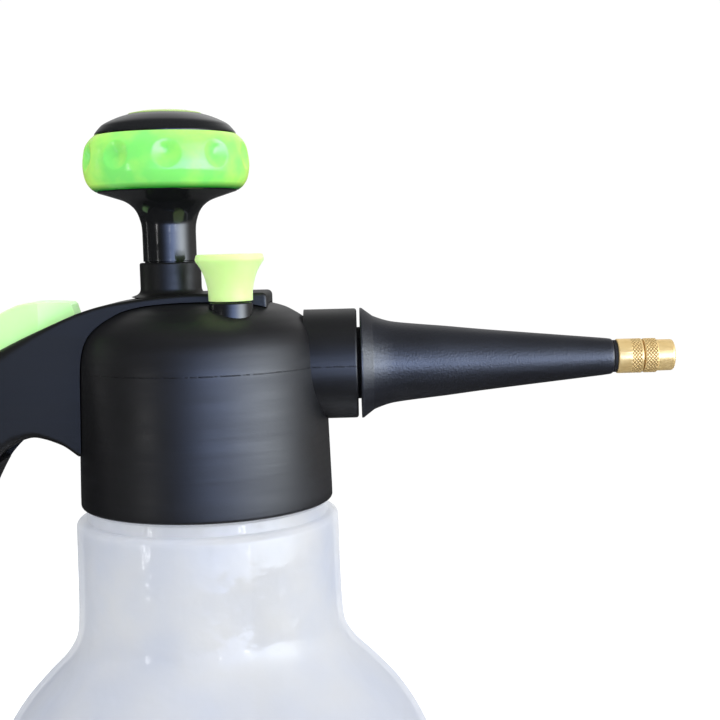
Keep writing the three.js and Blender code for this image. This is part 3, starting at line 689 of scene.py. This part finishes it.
strip = [p for p in INNER_EDGE if -43 < p[1] < 14]
SCREWS = [((-67.7, 5.8), -61.5), ((-83.1, -32.5), -72.5)]  # (x, h) and tilt in degrees
plate = put("grip_plate", [slab(strip + inset(strip, 2.5)[::-1], CAVITY_HALF - 0.3, 0.35, 3)])
for (x, h), tilt in SCREWS:
    for radius, low, high in ((1.7, -5, 8), (3.0, -5, 1.2)):
        combine(plate, [tilted(disc(radius, low, high, sides=48), tilt, (x, 0, h + SKIRT_Z))])
finished(plate, PLAIN, "head", ["grip_cover"])
for k, ((x, h), tilt) in enumerate(SCREWS):
    turn = radians(tilt)
    pan = [(0, -1.8), (2.7, -1.8, 0.9), (2.7, 0), (1.3, 0), (1.3, 9), (0, 10)]
    seat = (x + 0.9 * sin(turn), 0, h + SKIRT_Z + 0.9 * cos(turn))
    screw = put(f"grip_screw_{k + 1}", [tilted(spin(rounded(pan, closed=False), 40), tilt, seat)])
    for a, b in ((0.28, 1.5), (1.5, 0.28)):
        cross = [(-a, -b), (a, -b), (a, b), (-a, b)]
        combine(screw, [tilted(prism(cross, -3, -0.9), tilt, seat)])
    finished(screw, STEEL, "head", [f"cover_screw_{k + 1}"])

# ---------------------------------------------------------------- trigger
pad = curve([
    (-39.8, 62.6), (-50, 62.9), (-55.5, 61.9), (-61.5, 58.8), (-68, 53.8), (-74, 47.3), (-78.2, 40.6),
], 6)
side_view = [
    (-38, 59), (-38.9, 61.9), *pad, (-78.6, 38), (-77.4, 35.2), (-75, 33.5), (-72, 33), (-68.9, 34),
    (-67.9, 37.5), (-67.6, 42), (-58, 47.6), (-46.5, 53), (-43, 56),
]
trigger = put("thumb_trigger", [slab(side_view, 8.8, 0.7, 4)])
for side in (-1, 1):
    corner = [(-48.3, side * 8.81), (-36, side * 3.9), (-36, side * 14), (-48.3, side * 14)]
    combine(trigger, [prism(corner, SKIRT_Z + 45, SKIRT_Z + 75)])
combine(trigger, [
    slab([(-57.2, 47), (-48.7, 38.5), (-46.5, 38.5), (-46.5, 54), (-57.2, 50)], 4),
    slab([(-67, 40.5), (-61, 40.5), (-61, 47), (-67, 44)], 3),
], "UNION")
combine(trigger, [disc(1.72, -20, 20, middle("trigger_pin"), "Y", 48)])
finished(trigger, MINT, "trigger", ["trigger"], sharp=17)

# ---------------------------------------------------------------- cone and nozzle
cone = rounded([(14.2, 50.6), (14.2, 48.65), (17.1, 48.65, 0.4), (16.95, 49.3)], closed=False)
cone += curve([
    (16.9, 49.35), (15.05, 51.8), (14.3, 53), (13, 56.7), (12.3, 60.4), (11.5, 67.7), (10.75, 75.2),
    (9.5, 86.3), (7.65, 104.8), (5.85, 123),
], 6)
cone += rounded([
    (5.6, 125.2), (5.35, 126.6, 0.9), (3.6, 126.6), (3.6, 112), (2.6, 110), (2.6, 78), (4, 66), (6.3, 63),
    (6.3, 48.8), (8.8, 48.8), (8.8, 54), (11, 54),
], closed=False)
cone_piece = put("outlet_cone", [spin(cone, 144, (0, 0, NOZZLE_Z), "X")])
finished(cone_piece, GRAIN, "head", ["nozzle_cone"])


def knurl(start, end):
    """A change for spin: two crossing families of grooves between start and end."""
    def change(angle, radius, height):
        if not start < height < end:
            return radius, height
        cut = 0.0
        for way in (1, -1):
            phase = KNURL_COUNT * angle / (2 * pi) + way * (height - KNURL_START) / KNURL_PITCH
            cut = max(cut, 1 - abs(phase - round(phase)) / KNURL_HALF)
        return radius - KNURL_DEPTH * max(cut, 0), height
    return change


def fine(start, end, radius, rows):
    """A straight stretch with enough rows to carry the knurl."""
    return [(radius, start + (end - start) * k / rows) for k in range(rows + 1)]


KNURL_SIDES = 16 * KNURL_COUNT
rear = rounded([(3.4, 127.8), (5.32, 127.8, 0.35), (5.32, 131.95)], closed=False)
rear += fine(132.05, 134.8, 5.32, 33)
rear += rounded([
    (5.35, 134.85), (5.3, 135.5, 0.25), (3.1, 135.5), (3.1, 142.3, 0.3), (0.9, 143.2), (0.5, 143.2),
    (0.5, 140.1), (1.5, 139.1), (1.5, 114), (3.4, 114),
], closed=False)
brass_rear = put("brass_rear", [spin(rear, KNURL_SIDES, (0, 0, NOZZLE_Z), "X", knurl(*KNURLS[0]))])
finished(brass_rear, BRASS, "head", ["nozzle_body"], sharp=40)
front = rounded([(3.4, 136), (5.1, 136, 0.2), (5.28, 136.3)], closed=False)
front += fine(136.35, 139.8, 5.3, 41)
front += rounded([
    (5.15, 139.95), (4.85, 140.1, 0.2), (4.8, 145.4, 0.9), (1.4, 145.4, 0.2), (0.7, 144.7),
    (0.7, 144), (3.4, 143.6), (3.4, 142.1), (4.1, 142.1), (4.1, 140.3), (3.4, 140.3),
], closed=False)
brass_front = put("brass_front", [spin(front, KNURL_SIDES, (0, 0, NOZZLE_Z), "X", knurl(*KNURLS[1]))])
finished(brass_front, BRASS, "nozzle_cap", ["nozzle_cap"], sharp=40)

# ---------------------------------------------------------------- pump knob
FLARE = curve([
    (8.15, 83), (8.3, 85.2), (8.7, 87), (9.5, 89.2), (10.9, 91.1), (13.2, 92.7), (17.2, 94.1), (21, 95.3),
], 6)
# The spigot below the shank reaches into the collar, so that no light shows between the two.
shank = rounded([
    (5.15, 78.1), (5.15, 73.65), (7.7, 73.65), (7.7, 74.25), (8.15, 74.25, 0.2), (8.15, 75.2),
], closed=False)
shank += FLARE + [
    (21.2, 95.6), (20.9, 96.2), (20.4, 96.9), (20.4, 108.3), (18, 108.3), (18, 99.2), (3.95, 98.4),
    (3.95, 78.1),
]
shank_piece = put("knob_shank", [spin(lifted(shank), 144, (PUMP_X, 0, 0))])
finished(shank_piece, GLOSS, "plunger", ["knob_body"])

TYRE = curve([
    (21.7, 95.7), (23.0, 96.7), (24.2, 98.4), (24.85, 100.4), (25.1, 102.2), (25.15, 104), (24.85, 106.6),
    (24.3, 109), (23.1, 110.9), (21.6, 112.3),
], 7)


def dimpled(angle, radius, height):
    """Shallow cone-shaped hollows spaced evenly round the tyre, one of them nearly facing -Y."""
    step = 2 * pi / DIMPLES
    off = (angle + pi / 2 - radians(DIMPLE_TURN) + step / 2) % step - step / 2
    reach = hypot(off * RING_R, height - SKIRT_Z - DIMPLE_H) / DIMPLE_R
    if radius < 22.5 or reach >= 1:
        return radius, height
    return radius - DIMPLE_DEPTH * (1 - reach ** 1.4), height


tyre = lifted([(20.8, 112.3), (20.8, 97.2)] + TYRE)
tyre_piece = put("knob_tyre", [spin(tyre, 360, (PUMP_X, 0, 0), change=dimpled)])
finished(tyre_piece, GREEN, "plunger", ["knob_ring"], sharp=45)
cap = rounded([(17.6, 108.6), (20.3, 108.6), (20.3, 112.7), (21.35, 112.7, 0.3)], closed=False)
cap += curve([(21.2, 113.1), (20.3, 114.2), (18.7, 115.7), (14.9, 117.5), (11.5, 118.6)], 5)
cap += [(11.3, 118.1), (0, 118.1), (0, 115.8), (11.4, 115.8), (17.6, 113.4)]
cap_piece = put("knob_dome", [spin(lifted(cap), 144, (PUMP_X, 0, 0))])
finished(cap_piece, GLOSS, "plunger", ["knob_cap"])
badge = rounded([
    (0, 118.2), (11.1, 118.2), (11.1, 118.95, 0.25), (8, 119.55), (4, 119.82), (0, 119.9),
], closed=False)
badge_piece = put("knob_disc", [spin(lifted(badge), 96, (PUMP_X, 0, 0))])
finished(badge_piece, BADGE, "plunger", ["knob_badge"])

# ---------------------------------------------------------------- relief knob
button = rounded([(2.5, 72.2), (2.5, 62.4), (6.45, 62.4, 0.3), (6.5, 64)], closed=False)
button += curve([(6.5, 64.2), (6.65, 66), (7.1, 68.2), (7.8, 70.4), (8.75, 72.3), (9.75, 73.8)], 6)
button += rounded([
    (9.9, 74.0), (10.1, 74.6, 0.5), (9.7, 76.1, 0.5), (7.5, 76.0), (0, 75.6), (0, 72.2),
], closed=False)
button_piece = put("relief_button", [spin(lifted(button), 96, (*RELIEF, 0))])
finished(button_piece, LIME, "relief", ["relief_knob"])

# ---------------------------------------------------------------- pieces seen through the bottle
tube = rounded([
    (13.9, 24.2), (13.9, -103, 0.8), (10, -104), (10, -110, 0.4), (8.1, -110, 0.4), (8.1, -104), (3.4, -104),
    (3.4, -101.4), (11.8, -101.4), (11.8, 24.2),
])
tube_piece = put("barrel_tube", [spin(lifted(tube), 96, (PUMP_X, 0, 0))])
finished(tube_piece, TUBE, "head", ["pump_barrel"])
rod = rounded([
    (0, -100.4), (1.6, -100.4), (3.2, -99.4), (3.2, -88), (5, -88, 0.4), (5, 78), (3.8, 78), (3.8, 97.4),
    (1.8, 97.4), (1.8, 86), (0, 86),
], closed=False)
rod_piece = put("plunger_rod", [spin(lifted(rod), 64, (PUMP_X, 0, 0))])
finished(rod_piece, WHITE, "plunger", ["pump_rod"])
pipe = rounded([(3, -173), (4.3, -173), (4.3, 18.6, 0.3), (3, 18.6, 0.3)])
pipe_piece = put("dip_pipe", [spin(lifted(pipe), 48, (INLET_X, 0, 0))])
finished(pipe_piece, WHITE, "head", ["dip_tube"])
strainer = rounded([
    (4.5, -171), (6.2, -171, 0.4), (6.2, -179, 0.8), (5, -180.6), (0, -180.6), (0, -178.8), (4.5, -178.8),
])
strainer_piece = put("strainer", [spin(lifted(strainer), 48, (INLET_X, 0, 0))])
finished(strainer_piece, INNER, "head", ["dip_filter"])

# ---------------------------------------------------------------- springs
SPRINGS = [
    # node, joint, radius, wire's radius, length, turns, foot, direction, how far up it is held, share kept
    ("trigger_spring", "trigger_press", 2.4, 0.4, 12.6, 5, (-64, 0, SKIRT_Z + 27.4), "Z", 0, 0.89),
    ("valve_spring", "valve_pull_slide", 2.6, 0.35, 9.6, 5, (13.6, 0, NOZZLE_Z), "X", 0, 0.78),
    ("relief_spring", "relief_pull", 2.9, 0.4, 22, 6, (*RELIEF, SKIRT_Z + 33), "Z", 22, 0.81),
]
for node, joint, radius, wire, length, turns, foot, along, fixed, keep in SPRINGS:
    made = put(f"{node}_coil", [coil(radius, wire, length, turns, foot, along)])
    finished(made, STEEL, "head", [node])
    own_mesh(made)

# The CAD nodes that stay get a finish by slot.
FINISHES = {
    "white_plastic": WHITE, "inner_black": INNER, "rubber": RUBBER, "steel": STEEL, "brass": BRASS,
    "black_satin": SATIN, "black_gloss": GLOSS, "grip_green": GREEN, "trigger_green": MINT,
    "valve_lime": LIME, "bottle_plastic": MILKY,
}
for entry in frame["record"]["subparts"]:
    node = frame["nodes"][entry["node"]]
    node.data.materials.clear()
    node.data.materials.append(FINISHES[entry["material_slot"]])


# ---------------------------------------------------------------- floor, light and camera
def floor():
    """Pale, and white further off. Glossy surfaces see it dim, so that black plastic stays black."""
    radius = 1000
    top = -0.2
    rings = [(radius * k / 8, top) for k in range(9)]
    made = put("floor", [spin(rings + [(radius, top - 1), (0, top - 1)], 96)])
    n = Nodes("pale_floor")
    path = n.add("ShaderNodeLightPath").outputs
    tone = n.blend(n.noise(0.02, 4), (0.8, 0.8, 0.8), (0.84, 0.84, 0.84))
    tone = n.blend(path["Is Glossy Ray"], tone, (0.035, 0.035, 0.036))
    matt = n.add("ShaderNodeBsdfPrincipled", Base_Color=tone, Roughness=0.8).outputs[0]
    lift = n.math("MULTIPLY", path["Is Camera Ray"], 0.5)
    lift = n.add("ShaderNodeEmission", Color=(1, 1, 1, 1), Strength=lift).outputs[0]
    near = n.add("ShaderNodeAddShader", _0=matt, _1=lift).outputs[0]
    white = n.add("ShaderNodeEmission", Color=(1, 1, 1, 1), Strength=1.02).outputs[0]
    length = n.tree.nodes.new("ShaderNodeVectorMath")
    length.operation = "LENGTH"
    n.set(length, "_0", n.place)
    fade = n.spread(length.outputs["Value"], 0.35, 0.95)
    fade = n.math("MULTIPLY", n.math("POWER", fade, 1.5), path["Is Camera Ray"])
    made.data.materials.append(n.surface(n.add("ShaderNodeMixShader", _0=fade, _1=near, _2=white).outputs[0]))


def towards(azimuth, elevation):
    """A direction: azimuth 0 is on the camera's side and 90 beyond the nozzle."""
    a, e = radians(azimuth), radians(elevation)
    return Vector((sin(a) * cos(e), -cos(a) * cos(e), sin(e)))


def world(gloss_base, windows, fill):
    """White where the camera looks. Glossy surfaces see a dark room with soft windows, matt ones a pale room.

    A window is (azimuth, elevation, sharpness, strength, colour), and fill is (base, azimuth, elevation,
    strength).
    """
    n = Nodes("studio", world=True)
    path = n.add("ShaderNodeLightPath").outputs

    def lobe(azimuth, elevation, sharpness, strength):
        node = n.tree.nodes.new("ShaderNodeVectorMath")
        node.operation = "DOT_PRODUCT"
        n.set(node, "_0", n.place)
        n.set(node, "_1", tuple(towards(azimuth, elevation)))
        near = n.math("MAXIMUM", node.outputs["Value"], 0.0)
        return n.math("MULTIPLY", n.math("POWER", near, sharpness), strength)

    shader = n.add("ShaderNodeBackground", Color=(0.9, 0.95, 1.0, 1), Strength=gloss_base).outputs[0]
    for azimuth, elevation, sharpness, strength, colour in windows:
        shape = lobe(azimuth, elevation, sharpness, strength)
        glow = n.add("ShaderNodeBackground", Color=(*colour, 1), Strength=shape).outputs[0]
        shader = n.add("ShaderNodeAddShader", _0=shader, _1=glow).outputs[0]
    base, azimuth, elevation, strength = fill
    soft = n.math("ADD", lobe(azimuth, elevation, 1.5, strength), base)
    soft = n.add("ShaderNodeBackground", Color=(0.98, 0.99, 1.0, 1), Strength=soft).outputs[0]
    shader = n.add("ShaderNodeMixShader", _0=path["Is Glossy Ray"], _1=soft, _2=shader).outputs[0]
    white = n.add("ShaderNodeBackground", Color=(1, 1, 1, 1), Strength=1.02).outputs[0]
    shader = n.add("ShaderNodeMixShader", _0=path["Is Camera Ray"], _1=shader, _2=white).outputs[0]
    bpy.context.scene.world = n.surface(shader)


LAMP_TARGET = Vector((0, 0, 230))


def softbox(name, azimuth, elevation, distance, size, power, mirrored=True):
    """A rectangular lamp that looks at the head."""
    lamp = bpy.data.lights.new(name, "AREA")
    lamp.shape = "RECTANGLE"
    lamp.size, lamp.size_y = (s * MM for s in size)
    lamp.energy = power
    made = bpy.data.objects.new(name, lamp)
    bpy.context.scene.collection.objects.link(made)
    away = towards(azimuth, elevation)
    made.location = (LAMP_TARGET + away * distance) * MM
    made.rotation_euler = away.to_track_quat("Z", "Y").to_euler()
    made.visible_glossy = mirrored


def camera(place, yaw, pitch, roll, lens_mm):
    """A camera at place that looks along +Y, turned to the right by yaw, down by pitch and by a roll."""
    lens = bpy.data.cameras.new("camera")
    lens.sensor_width = 36
    lens.lens = lens_mm
    lens.clip_start = 0.01
    made = bpy.data.objects.new("camera", lens)
    bpy.context.scene.collection.objects.link(made)
    yaw, pitch, roll = map(radians, (yaw, pitch, roll))
    ahead = Vector((sin(yaw) * cos(pitch), cos(yaw) * cos(pitch), -sin(pitch)))
    right = Vector((cos(yaw), -sin(yaw), 0))
    up = right.cross(ahead)
    x = right * cos(roll) + up * sin(roll)
    y = up * cos(roll) - right * sin(roll)
    turn = Matrix((x, y, -ahead)).transposed().to_4x4()
    made.matrix_world = Matrix.Translation(Vector(place) * MM) @ turn
    bpy.context.scene.camera = made


floor()
world(
    gloss_base=0.03,
    windows=[
        (60, -3, 10, 9.9, (0.90, 0.98, 1.07)),
        (22, -11, 9, 4.9, (0.62, 0.84, 1.5)),
        (108, 5, 5, 0.5, (1.05, 1.0, 0.96)),
        (0, 85, 3, 0.15, (1, 1, 1)),
        (-60, 5, 2, 0.06, (1, 1, 1)),
        (180, 30, 10, 0.8, (1, 1, 1)),
    ],
    fill=(0.97, 75, 20, 0.32),
)
softbox("key_right", 62, 24, 1100, (700, 900), 6, mirrored=False)
softbox("top", 10, 80, 1000, (800, 800), 5, mirrored=False)
softbox("edge_left", -100, 4, 900, (30, 500), 0.16)
STRIPS = ((-46, -6, 200), (9, -4, 90), (36, -8, 90))  # azimuth, elevation and height
STRIP_POWER = 0.0018  # for each millimetre of height
for azimuth, elevation, tall in STRIPS:
    softbox(f"strip_{azimuth}", azimuth, elevation, 900, (30, tall), STRIP_POWER * tall)
camera((46.3, -399.6, 78.4 + SKIRT_Z), yaw=0.31, pitch=5.17, roll=-1.48, lens_mm=64.8)
bpy.context.scene.view_settings.view_transform = "Standard"
